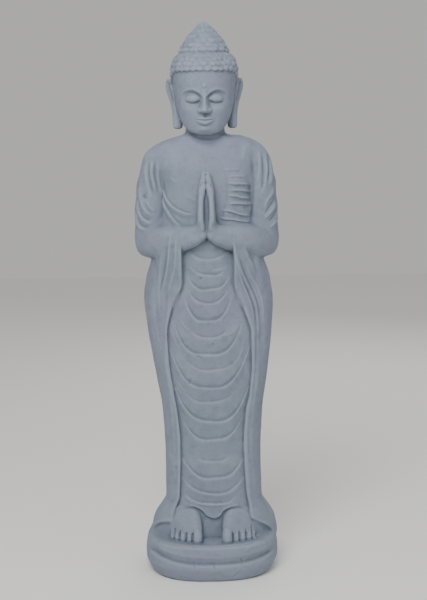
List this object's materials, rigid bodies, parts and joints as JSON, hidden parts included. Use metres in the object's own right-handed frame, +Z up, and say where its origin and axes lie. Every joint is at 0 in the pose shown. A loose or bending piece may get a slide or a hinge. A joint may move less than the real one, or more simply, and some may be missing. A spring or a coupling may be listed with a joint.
{
  "type": "standing buddha statue",
  "caption": "Standing Buddha garden figure with palms joined, in a long draped robe and cloak, carved from grey stone in one piece with its low round plinth.",
  "frame": {"origin": "middle of the flat underside of the plinth", "axes": "+Z up, the figure faces -Y, +X is on the viewer's right"},
  "size_m": [0.3938, 0.314, 1.5],
  "materials": {
    "river_stone": "rubbed and weathered, matt, cool blue grey with fine grain and a few pits"
  },
  "bodies": {
    "root": {"standing_buddha": "river_stone"}
  },
  "joints": []
}
